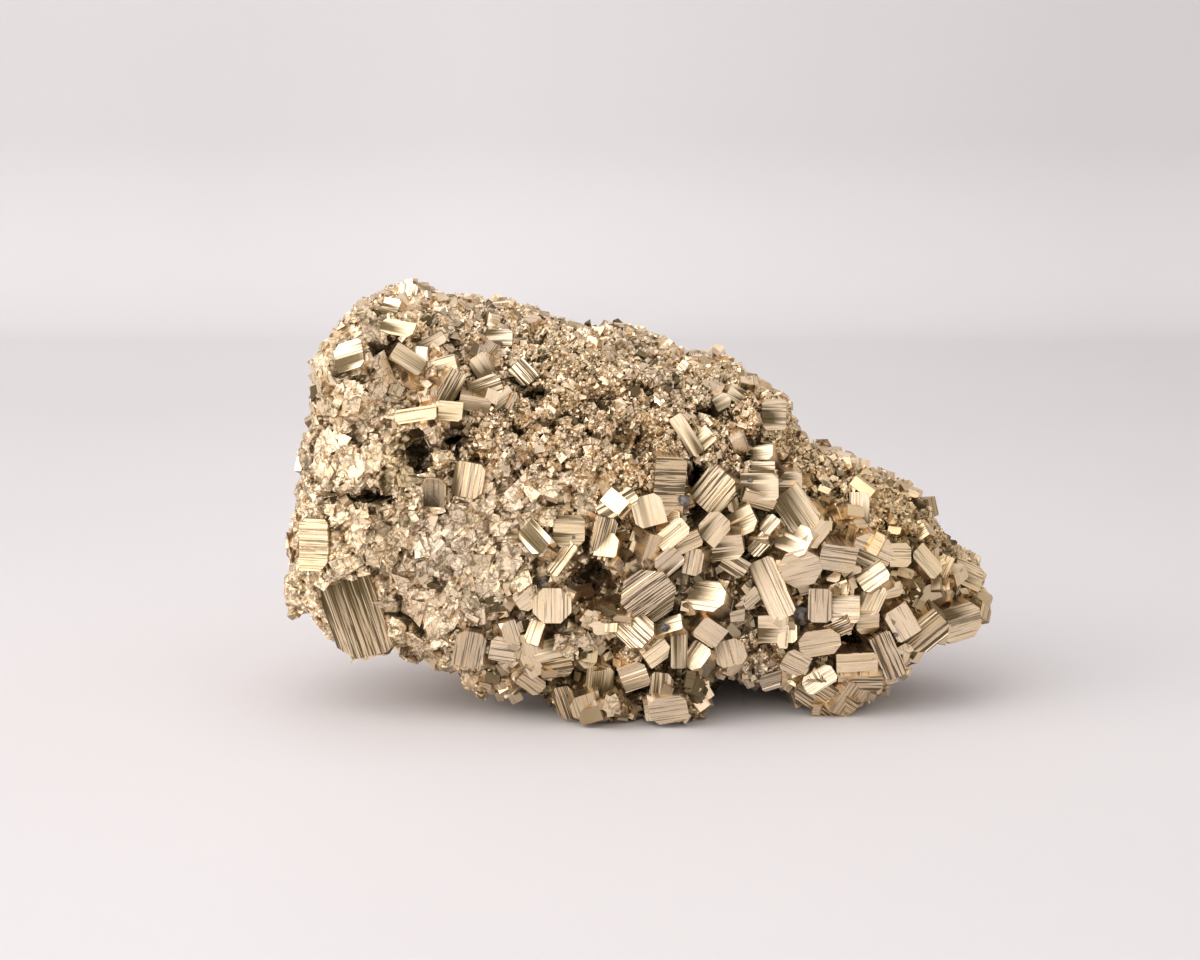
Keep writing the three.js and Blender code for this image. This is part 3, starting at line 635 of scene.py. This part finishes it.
def regions(points, facings):
    """How crystallised, granular and broken the surface is at each point, from 0 to 1 each. On the front, x
    and z say where each kind lies. On the other sides, noise does."""
    x, z = laid_out(points)
    wander = 3.0 * noise_at(points, 6.0)
    front = step(-facings[:, 1], BACK, FRONT)
    right = step(z + wander, 31, 25) * step(x + wander, -6, 2) * step(z - 0.5 * (40 - x) + wander, 24, 18)
    foot = step(z + wander, 15, 10) * step(x, -24, -20)
    crown = 0.15 * step(z + wander, 36, 43) * step(x + wander, -15, -20) * step(x, -38, -35)
    crystals = np.maximum(np.maximum(right, foot), crown)
    for spot_x, spot_z, radius, _ in GRAINY_SPOTS:
        crystals = crystals * step(np.hypot(x - spot_x, z - spot_z), radius - 0.5, radius + 0.5)
    crystals = front * crystals + (1 - front) * step(noise_at(points, 13.0, 5.3), 0.0, 0.2)
    middle = step(x + wander, 1, -5) * step(z + wander, 33, 27)
    broken = np.maximum(middle, step(x + wander, -26, -33)) * (1 - crystals)
    broken = front * broken + (1 - front) * step(noise_at(points, 11.0, 9.1), 0.0, 0.2) * (1 - crystals)
    return crystals, 1 - np.maximum(crystals, broken), broken


def grainy_brightness(points):
    return on_spots(*laid_out(points), GRAINY_SPOTS, 0.5) * (points[:, 1] < 0)


def spot_shade(points):
    return on_spots(*laid_out(points), SHADED_SPOTS, 1.5) * (points[:, 1] < 0)


def shade_at(points):
    """The tones of the specimen's parts, with painted light: brighter to the left, where the light comes
    from, and darker over the thin end's top.
    """
    x, z = laid_out(points)
    left = step(x, -22, -36)
    dull = step(x, 12, 26) * step(z + 0.5 * x, 30, 36)
    shade = 0.25 * left - 1.5 * dull + 0.5 * noise_at(points, 9.0, 4.4)
    # With the brighter grainy spots, and the painted light and shade of the shaded spots.
    return shade + grainy_brightness(points) + spot_shade(points)


rng = np.random.default_rng(SEED)
body_points, body_normals, body_triangles = voxel_body()
smooth_points = body_points.copy()
crystallised, granular, broken = regions(body_points, body_normals)

coarse, coarse_tone = facets(rng, body_points, body_normals, *COARSE_FACETS)
medium, medium_tone = facets(rng, body_points, body_normals, *MEDIUM_FACETS)
fine, fine_tone = facets(rng, body_points, body_normals, *FINE_FACETS)
height = broken * (coarse + 0.8 * medium)
bumps = lumps(rng, body_points, *BIG_LUMPS) + lumps(rng, body_points, *SMALL_LUMPS)
height += granular * (bumps + fine - 0.3)
height += crystallised * (coarse * 0.6 + fine - 1.2)
height += SWELL * noise_at(body_points, 4.5, 2.0) * (1 - crystallised)
height -= GROOVE * broken * step(np.abs(noise_at(body_points, 3.4, 7.7)), GROOVE_WIDTH, 0.0)
height += GRAINY_RISE * step(grainy_brightness(body_points), 0.3, 0.9)
body_shade = shade_at(body_points)
body_tone = body_shade + broken * 0.7 * (coarse_tone + medium_tone)
# The mass among the crystals is painted darker, as painted shade between them.
body_tone = body_tone + (1 - broken) * fine_tone - 0.8 * crystallised
body_points += body_normals * height[:, None]
body_points += rng.normal(0, 1, body_points.shape) * (ROUGHNESS * granular)[:, None]
body_points = under_crystals(body_points)
body_points[:, 2] = np.maximum(body_points[:, 2], GROUND)
body_tree = tree_of(body_points, body_triangles)
# Depth in gaps, counted deeper among the crystals: it sets where small things grow and the painted shade.
body_deep = depth_in(body_tree, body_points, body_normals) + 0.2 * crystallised
# The painted shade of the mass: its depth in gaps, with the darker spots counted as deeper.
body_painted_shade = body_deep + 0.12 * np.maximum(-spot_shade(smooth_points), 0)  # dark spots count as deeper

# ---- Where things grow ----

body_areas = np.linalg.norm(crossed(smooth_points[body_triangles]), axis=1) / 2
body_facing = unit(body_normals[body_triangles].sum(axis=1))

NOTHING_GROWS = 0.8  # depths in a gap
ALL_GROWS = 0.45
OVER_CRYSTAL = 0.6  # what lies this far over a large crystal's face is clear of it


def clear_of_crystals(points, margin):
    """Which points lie beyond the margin round every large crystal, or well over its face."""
    clear = np.ones(len(points), bool)
    for crystal in big_crystals:
        clear &= ~near_crystal(crystal, points, margin[:, None], OVER_CRYSTAL)[2]
    return clear


def scatter(rng, count, weights, sizes, skew, margin=0.0, margin_by_size=0.0):
    """Random places on the mass, fewer of them down in its gaps and none on the large crystals, with the
    triangles under them and their sizes."""
    weights = (weights * step(body_deep, NOTHING_GROWS, ALL_GROWS))[body_triangles].mean(axis=1) * body_areas
    chosen = rng.choice(len(weights), count, p=weights / weights.sum())
    shares = rng.dirichlet((1, 1, 1), count)
    places = np.einsum("ij,ijk->ik", shares, body_points[body_triangles[chosen]])
    sizes = between(sizes, rng.random(count) ** skew)
    clear = clear_of_crystals(places, margin + margin_by_size * sizes)
    return places[clear], chosen[clear], sizes[clear]


def values_under(chosen):
    """The mass's depth, which sets the painted shade, and its shade, which carries painted light, at the
    triangles.
    """
    corners = body_triangles[chosen, 0]
    return body_painted_shade[corners], body_shade[corners]


# ---- Small crystals and grains ----

LOWEST = np.array(CAD_BOX[0]) / MM - (1.1, 1.1, 0.0)  # nothing grows beyond these corners
HIGHEST = np.array(CAD_BOX[1]) / MM + 0.9
UNEVEN = (0.75, 1.1)  # each side's length, as a share of the size
SUNK_CRYSTAL = 0.38  # how much of a small crystal's size its main face stands over the mass


def crystal_templates(rng):
    """Small crystals about 1 mm across, to be scaled."""
    made = []
    for _ in range(36):
        lined = rng.uniform(0, 0.8)
        across = rng.uniform(0.6, 1.0)
        made.append(striated_crystal(rng, 1.0, across, 1.3, 0.3 * lined, lined, scale=0.42, strips=1.3))
    return made


def many(rng, templates, places, turns, sizes, deeps, shades, tone_spread):
    """Copies of the templates in one set of arrays: points, triangles, tones, grain and depth."""
    kinds = rng.integers(len(templates), size=len(places))
    parts = []
    for kind, (points, triangles, tones, grain) in enumerate(templates):
        own = np.flatnonzero(kinds == kind)
        if not len(own):
            continue
        placed = np.einsum("npj,njk->npk", points[None] * sizes[own][:, None, :], turns[own])
        placed = placed + places[own][:, None]
        fits = (placed.min(axis=1) > LOWEST).all(axis=1) & (placed.max(axis=1) < HIGHEST).all(axis=1)
        own, placed = own[fits], placed[fits]
        offsets = np.arange(len(own)) * len(points)
        numbers = triangles[None] + offsets[:, None, None]
        tone = np.repeat(tones[None], len(own), axis=0)
        tone[..., 0] += (shades[own] + rng.normal(0, tone_spread, len(own)))[:, None]
        grains = grain[None] * sizes[own].mean(axis=1)[:, None, None]
        grains = grains + rng.uniform(*GRAIN_SHIFT, (len(own), 1, 3))
        per_point = np.column_stack((grains.reshape(-1, 3), np.repeat(deeps[own], len(points))))
        parts.append((placed.reshape(-1, 3), numbers.reshape(-1, 3), tone.reshape(-1, 2), per_point))
    points, triangles, tones, per_point = merged(parts)
    return points, triangles, tones, per_point[:, :3], per_point[:, 3]


def turned_out(rng, outward, lean):
    """Turns whose last axis looks outward, give or take, with a random turn about it."""
    normals = unit(outward + rng.normal(0, lean, outward.shape))
    side = unit(np.cross(normals, rng.normal(size=normals.shape)))
    return np.stack((side, np.cross(normals, side), normals), axis=1)


def build_small_crystals():
    rng = np.random.default_rng(SEED + 1)
    templates = crystal_templates(rng)
    places, chosen, sizes = scatter(rng, 1800, crystallised + 0.015 * granular, (1.2, 3.0), 1.3, -0.35)
    outward = body_facing[chosen]
    turns = turned_out(rng, outward, 0.45)
    places = places + outward * (SUNK_CRYSTAL * sizes)[:, None]
    deeps, shades = values_under(chosen)
    # Less painted shade on the larger ones.
    deeps = deeps * (1.15 - 0.2 * sizes)  # the larger ones stand out of the gap that they grow in
    sizes = sizes[:, None] * rng.uniform(*UNEVEN, (len(sizes), 3))
    return many(rng, templates, places, turns, sizes, deeps, shades, 0.45)


def grain_templates(rng, knocked, lined):
    """Cubes knocked a little out of square."""
    corners = np.array([(x, y, z) for x in (-0.5, 0.5) for y in (-0.5, 0.5) for z in (-0.5, 0.5)])
    quads = np.array(((0, 1, 3, 2), (4, 6, 7, 5), (0, 4, 5, 1), (2, 3, 7, 6), (0, 2, 6, 4), (1, 5, 7, 3)))
    triangles = np.concatenate((quads[:, (0, 1, 2)], quads[:, (0, 2, 3)]))
    made = []
    for _ in range(24):
        points = corners * rng.uniform(0.7, 1.1, 3) + rng.normal(0, knocked, corners.shape)
        tones = np.tile(rng.normal(0, 0.3, 6), 2)
        made.append((points, triangles, np.column_stack((tones, np.full(len(tones), lined))), points))
    return made


def build_grains(count, seed, sizes, weights, knocked=0.13, lined=0.0):
    """Grains or cubes, half sunk in the mass and turned every way."""
    rng = np.random.default_rng(seed)
    templates = grain_templates(rng, knocked, lined)
    places, chosen, sizes = scatter(rng, count, weights, sizes, 1.7)
    places = places + body_facing[chosen] * (sizes * rng.uniform(-0.15, 0.2, len(sizes)))[:, None]
    shapes = sizes[:, None] * rng.uniform(0.75, 1.2, (len(sizes), 3))
    turns = random_turns(rng, len(places))
    return many(rng, templates, places, turns, shapes, *values_under(chosen), 0.3)


def build_flakes():
    """Thin broken plates, lying nearly flat on the mass."""
    rng = np.random.default_rng(SEED + 2)
    templates = grain_templates(rng, 0.17, 0.2)
    places, chosen, sizes = scatter(rng, 1500, broken, (0.9, 3.4), 1.9, margin_by_size=0.35)
    turns = turned_out(rng, body_facing[chosen], 0.17)
    widths = sizes * rng.uniform(0.5, 1, len(sizes))
    shapes = np.column_stack((sizes, widths, rng.uniform(0.3, 0.7, len(sizes))))
    return many(rng, templates, places, turns, shapes, *values_under(chosen), 0.25)


def build_dark_grains(trees):
    """Rounded, pitted grains of another mineral, each half sunk where the line from the outlook first meets
    one of the trees' surfaces."""
    rng = np.random.default_rng(SEED + 6)
    ball = bmesh.new()
    bmesh.ops.create_icosphere(ball, subdivisions=3, radius=0.5)
    sphere = np.array([vert.co for vert in ball.verts])
    triangles = np.array([[vert.index for vert in face.verts] for face in ball.faces])
    ball.free()
    parts = []
    for x, z, size in DARK_GRAINS:
        line = unit(np.array((x, 0.0, z)) + CENTRING - OUTLOOK)
        hits = [tree.ray_cast(Vector(OUTLOOK), Vector(line)) for tree in trees]
        place, outward = min((hit for hit in hits if hit[0] is not None), key=lambda hit: hit[3])[:2]
        shape = sphere * (1 + 0.5 * noise_at(sphere, 0.5, rng.uniform(0, 50)))[:, None]
        shape *= size * rng.uniform(0.75, 1.1, 3)
        values = np.zeros(len(triangles))
        parts.append((np.array(place) + shape + 0.1 * size * np.array(outward), triangles, values, 0 * shape))
    return merged(parts)[:2]


# ---- Materials ----

PALE = (0.92, 0.745, 0.535, 1)
WARM = (0.69, 0.515, 0.30, 1)
# The brown of the painted shade in gaps, and of the cracks.
BROWN = (0.10, 0.068, 0.024, 1)
GREY = (0.50, 0.45, 0.42, 1)
YELLOW = (0.82, 0.68, 0.41, 1)
# The colour of the painted shade in the striations' dark lines.
DARK = (0.095, 0.066, 0.034, 1)

# How fine the textures are, in repeats to the metre.
BLOTCHES = 70.0
CLOUDS = 160.0
STAINS = 240.0
VEINS = 300.0
BENDS = 420.0
FACETS = 560.0
THIN_VEINS = 900.0
LINES = 1100.0
CHIPS = 1250.0
PITS = 1500.0
SPECKS = 2300.0
FINEST = 2600.0


class Nodes:
    """Short calls to build a node tree."""

    def __init__(self, tree):
        self.tree = tree
        tree.nodes.clear()

    def add(self, kind, inputs=(), **settings):
        node = self.tree.nodes.new("ShaderNode" + kind)
        for key, value in settings.items():
            setattr(node, key, value)
        for key, value in dict(inputs).items():
            if isinstance(value, bpy.types.NodeSocket):
                self.tree.links.new(value, node.inputs[key])
            else:
                node.inputs[key].default_value = value
        return node

    def math(self, operation, a, b=0.0, clamp=False):
        return self.add("Math", {0: a, 1: b}, operation=operation, use_clamp=clamp).outputs[0]

    def total(self, a, b, clamp=False):
        return self.math("ADD", a, b, clamp)

    def times(self, a, b):
        return self.math("MULTIPLY", a, b)

    def vector(self, operation, a, b=(0, 0, 0), output=0):
        return self.add("VectorMath", {0: a, 1: b}, operation=operation).outputs[output]

    def scaled(self, vector, scale):
        inputs = {0: vector, "Scale": scale}
        return self.add("VectorMath", inputs, operation="SCALE").outputs[0]

    def mix(self, factor, a, b):
        return self.add("Mix", {0: factor, 6: a, 7: b}, data_type="RGBA").outputs[2]

    def range(self, value, low, high, to_low=0.0, to_high=1.0):
        inputs = {0: value, 1: low, 2: high, 3: to_low, 4: to_high}
        return self.add("MapRange", inputs).outputs[0]

    def attribute(self, name, output="Fac"):
        return self.add("Attribute", attribute_name=name).outputs[output]

    def noise(self, vector, scale, detail=3.0, roughness=0.6):
        inputs = {"Vector": vector, "Scale": scale, "Detail": detail, "Roughness": roughness}
        return self.add("TexNoise", inputs).outputs["Fac"]

    def cells(self, vector, scale):
        return self.add("TexVoronoi", {"Vector": vector, "Scale": scale}).outputs["Color"]

    def surface(self, **inputs):
        named = {key.replace("_", " "): value for key, value in inputs.items()}
        shader = self.add("BsdfPrincipled", named)
        self.add("OutputMaterial", {"Surface": shader.outputs[0]})


def new_material(name):
    """An empty material, its nodes, and the place on the object, which its textures follow."""
    material = bpy.data.materials.new(name)
    material.use_nodes = True
    net = Nodes(material.node_tree)
    return material, net, net.add("TexCoord").outputs["Object"]


def turned(net, way, cell, most):
    """The direction turned one way or another for each cell."""
    turn = net.scaled(net.vector("SUBTRACT", cell, (0.5, 0.5, 0.5)), most)
    return net.vector("NORMALIZE", net.vector("ADD", way, turn))


def finished(net, colour, deep, line, fine, way, dull=0.0):
    """The metal's surface: duller down in the gaps, and painted darker and browner there as painted shade."""
    # Painted shade: the colour turns brown and dark down in the gaps.
    colour = net.mix(net.range(deep, 0.13, 0.52, 0, 0.9), colour, BROWN)
    rough = net.total(net.range(line, 0.3, 0.7, 0.26, 0.36), net.range(fine, 0.3, 0.7, -0.04, 0.08))
    rough = net.total(net.total(rough, dull), net.range(deep, 0.2, 0.7, 0.0, 0.3))
    height = net.total(line, net.times(fine, 0.5))
    bump = {"Strength": 0.4, "Distance": 0.00005, "Height": height, "Normal": way}
    bent = net.add("Bump", bump).outputs[0]
    net.surface(Base_Color=colour, Metallic=1.0, Roughness=rough, Normal=bent)


def started(name):
    """What every pyrite surface has: nodes, places on it, depth for the painted shade of gaps, fine noise,
    lightness that carries painted light and shade, and direction.
    """
    material, net, place = new_material(name)
    light = net.total(net.times(net.attribute("tone"), 0.3), 0.74)
    light = net.total(light, net.range(net.noise(place, CLOUDS, 4.0), 0.3, 0.7, -0.2, 0.2))
    way = net.add("NewGeometry").outputs["Normal"]
    return material, net, place, net.attribute("deep"), net.noise(place, FINEST, 2.0), light, way


def two_metals(net, place, light):
    """Between the two brassy tones, and greyer in blotches."""
    blotches = net.range(net.noise(place, BLOTCHES), 0.52, 0.68, 0, 0.3)
    return net.mix(blotches, net.mix(light, WARM, PALE), GREY)


def striated_pyrite():
    """Faces of crystals, lined along their striations, with painted light and shade in bands and lines along
    them.
    """
    material, net, place, deep, fine, light, way = started("pyrite_faces")
    grain = net.attribute("grain", "Vector")
    lined = net.attribute("lined")
    band = net.noise(net.vector("MULTIPLY", grain, (0.08, 1.3, 0.1)), 1.0, 2.0)
    line = net.noise(net.vector("MULTIPLY", grain, (0.10, 4.2, 0.1)), 1.0, 2.0, 0.7)
    # Painted light and shade in broad bands and fine lines along the striations.
    light = net.total(light, net.range(band, 0.4, 0.6, -0.08, 0.20))
    light = net.total(light, net.range(line, 0.44, 0.56, -0.2, 0.16), clamp=True)
    colour = two_metals(net, place, light)
    # Painted shade: dark lines along the striations, stronger on the lined crystals.
    taken = net.total(net.times(lined, 0.13), net.times(band, 0.4))
    painted_shade_lines = net.range(net.math("SUBTRACT", net.total(line, taken), 0.83), 0.0, 0.03)
    painted_shade_lines = net.times(painted_shade_lines, net.range(lined, 0.0, 1.0, 0.4, 0.9))
    finished(net, net.mix(painted_shade_lines, colour, DARK), deep, line, fine, way)
    return material


def rough_pyrite(name, sparkle, gaps):
    """Grains and the mass: facets too fine to be modelled, turned from the surface by up to the sparkle, with
    thin dark cracks where it is broken, and painted shade in the gaps between its grains elsewhere."""
    material, net, place, deep, fine, light, way = started(name)
    broken = net.attribute("broken")
    bend = net.add("TexNoise", {"Vector": place, "Scale": BENDS, "Detail": 2.0}).outputs["Color"]
    bent = net.vector("ADD", place, net.scaled(bend, 0.0012))
    line = net.noise(place, LINES)
    facet = net.cells(bent, FACETS)
    chip = net.cells(place, CHIPS)
    speck = net.cells(place, SPECKS)
    light = net.total(light, net.range(chip, 0.0, 1.0, -0.16, 0.16))
    light = net.total(light, net.range(speck, 0.0, 1.0, -0.16, 0.16), clamp=True)
    way = turned(net, way, facet, net.times(broken, 0.3 * sparkle))
    way = turned(net, way, chip, net.range(broken, 0.0, 1.0, 0.45 * sparkle, 0.22 * sparkle))
    way = turned(net, way, speck, net.range(broken, 0.0, 1.0, 0.7 * sparkle, 0.15 * sparkle))
    stains = net.range(net.noise(place, STAINS, 2.0), 0.58, 0.66, 0, 0.3)
    colour = net.mix(stains, two_metals(net, place, light), YELLOW)
    vein = net.math("ABSOLUTE", net.math("SUBTRACT", net.noise(bent, VEINS, 3.0, 0.55), 0.5))
    thin = net.math("ABSOLUTE", net.math("SUBTRACT", net.noise(place, THIN_VEINS, 2.0), 0.47))
    vein = net.range(vein, 0.010, 0.034, 0.7, 0.0)
    thin = net.range(thin, 0.015, 0.045, 0.5, 0.0)
    crack = net.times(net.math("MAXIMUM", vein, thin), net.range(broken, 0.0, 1.0, 0.3, 1.0))
    # Painted shade in the gaps between the grains.
    edge = net.add("TexVoronoi", {"Vector": place, "Scale": CHIPS}, feature="DISTANCE_TO_EDGE")
    gap = net.range(edge.outputs["Distance"], 0.02, 0.09, gaps, 0.0)
    gap = net.times(gap, net.range(broken, 0.0, 0.6, 1.0, 0.0))
    colour = net.mix(net.math("MAXIMUM", crack, gap), colour, BROWN)
    finished(net, colour, deep, line, fine, way, net.times(broken, 0.14))
    return material


def dark_mineral():
    material, net, place = new_material("dark_mineral")
    mottle = net.noise(place, PITS, 4.0)
    colour = net.mix(net.range(mottle, 0.35, 0.65), (0.05, 0.044, 0.042, 1), (0.23, 0.20, 0.195, 1))
    bump = net.add("Bump", {"Strength": 0.6, "Distance": 0.0001, "Height": mottle}).outputs[0]
    net.surface(Base_Color=colour, Roughness=net.range(mottle, 0.3, 0.7, 0.3, 0.55), Normal=bump)
    return material


faces_material = striated_pyrite()
grains_material = rough_pyrite("pyrite_grains", 0.5, 0.2)
mass_material = rough_pyrite("pyrite_mass", 1.0, 0.75)

# ---- The pieces ----


def add_mass():
    """The mass in three pieces of about the same size, from front to back."""
    back = smooth_points[body_triangles[:, 0], 1]
    first, second = np.quantile(back, (1 / 3, 2 / 3))
    for name, own in (
        ("mass_front", back < first),
        ("mass_middle", (back >= first) & (back < second)),
        ("mass_back", back >= second),
    ):
        used, triangles = np.unique(body_triangles[own], return_inverse=True)
        add_piece(
            name, body_points[used], triangles.reshape(-1, 3), mass_material, deep=body_painted_shade[used],
            tone=body_tone[used], broken=broken[used],
        )


def add_big_crystals():
    """Adds the large crystals and gives back the tree of their surface."""
    points, triangles, tones, grain = build_big_crystals()
    outward = np.zeros_like(points)
    np.add.at(outward, triangles.ravel(), np.repeat(unit(crossed(points[triangles])), 3, axis=0))
    # Depth in the mass's gaps, for the crystals' painted shade.
    deep = depth_in(body_tree, points, unit(outward), rays=4)
    add_piece(
        "crystals", points, triangles, faces_material, grain=grain, tone=tones[:, 0], deep=deep,
        lined=tones[:, 1],
    )
    return tree_of(points, triangles)


def add_grown(name, material, made, cracked=0.0):
    """A piece of many small shapes that grow on the mass."""
    points, triangles, tones, grain, deep = made
    add_piece(
        name, points, triangles, material, grain=grain, tone=tones[:, 0], lined=tones[:, 1], deep=deep,
        broken=np.full(len(points), cracked),
    )


add_mass()
crystals_tree = add_big_crystals()
grainy = granular + 0.03 * broken
add_grown("small_crystals", faces_material, build_small_crystals())
add_grown("flakes", grains_material, build_flakes(), cracked=1.0)
add_grown("grains_fine", grains_material, build_grains(10000, SEED + 3, (0.35, 0.75), grainy))
add_grown("grains_coarse", grains_material, build_grains(2600, SEED + 4, (0.6, 1.3), grainy))
add_grown("cubes", faces_material, build_grains(6500, SEED + 5, (0.8, 2.0), crystallised, 0.05, 0.5))
add_piece("dark_grains", *build_dark_grains((body_tree, crystals_tree)), dark_mineral())

# ---- Floor, backdrop, light and camera ----

# In metres, apart from the camera's own numbers.
FLOOR_BACK = 0.47  # where the floor begins to sweep up
FLOOR_FRONT = -0.8
SWEEP = 0.06
SWEEP_STEPS = 12
FAR = 60.0
BACKDROP_TOP = 2.0
PAPER = (0.712, 0.688, 0.696, 1)
BLACK = (0, 0, 0, 1)
LIGHT_AIM = Vector((0, 0, 0.03))
LIGHTS = (
    # name, direction it comes from, distance, width, radiance
    ("key", (-0.62, -0.50, 0.66), 1.0, 1.4, 0.65),
    ("top", (0.1, 0.5, 1.0), 1.1, 0.7, 1.1),
)
SKY = (1.0, 0.97, 0.955, 1)
WINDOW = (-0.93, -0.29, 0.22)  # the direction of the brightest part of the room
BEYOND_THE_FLOOR = (0.80, 0.76, 0.77, 1)
CAMERA_PLACE = np.array((-5.5, -403.96, 94.98)) + CENTRING
CAMERA_TILT = 81.0
LENS = 85.0  # 85 mm on a sensor 36 mm wide
SENSOR = 36.0


def paper():
    """Matte paper with painted light: a little darker to the sides and to the back."""
    material, net, place = new_material("paper")
    axes = net.add("SeparateXYZ", {0: place}).outputs
    mottle = net.range(net.noise(place, 9.0, 2.0), 0.3, 0.7, 0.985, 1.0)
    # Painted light: the paper is darker to the right, a little to the left, and to the back.
    right = net.range(axes[0], -0.05, 0.16, 1.0, 0.87)
    left = net.range(axes[0], -0.13, -0.05, 0.97, 1.0)
    level = net.times(mottle, net.math("MINIMUM", right, left))
    level = net.times(level, net.range(axes[1], 0.02, 0.3, 1.0, 0.9))
    net.surface(Base_Color=net.mix(level, BLACK, PAPER), Roughness=0.75)
    return material


def add_cove():
    """Floor that sweeps up into a backdrop behind the cluster."""
    outline = [(-FAR, 0.0), (FLOOR_FRONT, 0.0), (FLOOR_BACK, 0.0)]
    for number in range(1, SWEEP_STEPS + 1):
        turn = math.radians(90 * number / SWEEP_STEPS)
        outline.append((FLOOR_BACK + SWEEP * math.sin(turn), SWEEP * (1 - math.cos(turn))))
    outline.append((FLOOR_BACK + SWEEP, BACKDROP_TOP))
    points = [(x, y, z) for x in (-FAR, FAR) for y, z in outline]
    other = len(outline)
    faces = [(i, i + other, i + 1 + other, i + 1) for i in range(other - 1)]
    mesh = bpy.data.meshes.new("cove")
    mesh.from_pydata(points, [], faces)
    mesh.shade_smooth()
    mesh.materials.append(paper())
    add_object("cove", mesh)


def add_light(name, direction, distance, width, radiance):
    light = bpy.data.lights.new(name, "AREA")
    light.shape = "DISK"
    light.size = width
    light.energy = radiance * math.pi * math.pi * (width / 2) ** 2
    lamp = add_object(name, light)
    away = Vector(direction).normalized()
    lamp.location = LIGHT_AIM + away * distance
    lamp.rotation_euler = away.to_track_quat("Z", "Y").to_euler()


def add_room():
    """Light from all round, a little stronger from low down, the left and the front, and a window. The camera
    sees a plain colour where it looks past the floor, painted darker to the right as painted light."""
    world = bpy.data.worlds.new("studio")
    bpy.context.scene.world = world
    world.use_nodes = True
    net = Nodes(world.node_tree)
    toward = net.add("TexCoord").outputs["Generated"]
    axes = net.add("SeparateXYZ", {0: toward}).outputs
    level = net.range(axes[2], 0.0, 0.7, 1.28, 1.01)
    level = net.total(level, net.range(axes[0], -0.8, 0.8, 0.35, -0.25))
    level = net.total(level, net.range(axes[1], -0.8, 0.4, 0.1, 0.0))
    window = net.vector("DOT_PRODUCT", toward, WINDOW, "Value")
    level = net.total(level, net.range(window, 0.80, 0.93, 0.0, 1.3))
    seen = net.add("LightPath").outputs["Is Camera Ray"]
    light = net.add("Background", {"Color": SKY, "Strength": level})
    # Painted light: what the camera sees past the floor is darker to the right.
    beyond = net.range(axes[0], -0.8, 0.8, 1.05, 0.62)
    plain = net.add("Background", {"Color": BEYOND_THE_FLOOR, "Strength": beyond})
    mixed = net.add("MixShader", {0: seen, 1: light.outputs[0], 2: plain.outputs[0]})
    net.add("OutputWorld", {"Surface": mixed.outputs[0]})


def add_camera():
    camera = bpy.data.cameras.new("camera")
    camera.lens = LENS
    camera.sensor_width = SENSOR
    holder = add_object("camera", camera)
    holder.location = CAMERA_PLACE * MM
    holder.rotation_euler = (math.radians(CAMERA_TILT), 0, 0)
    bpy.context.scene.camera = holder


add_cove()
for values in LIGHTS:
    add_light(*values)
add_room()
add_camera()
bpy.context.scene.view_settings.view_transform = "Standard"
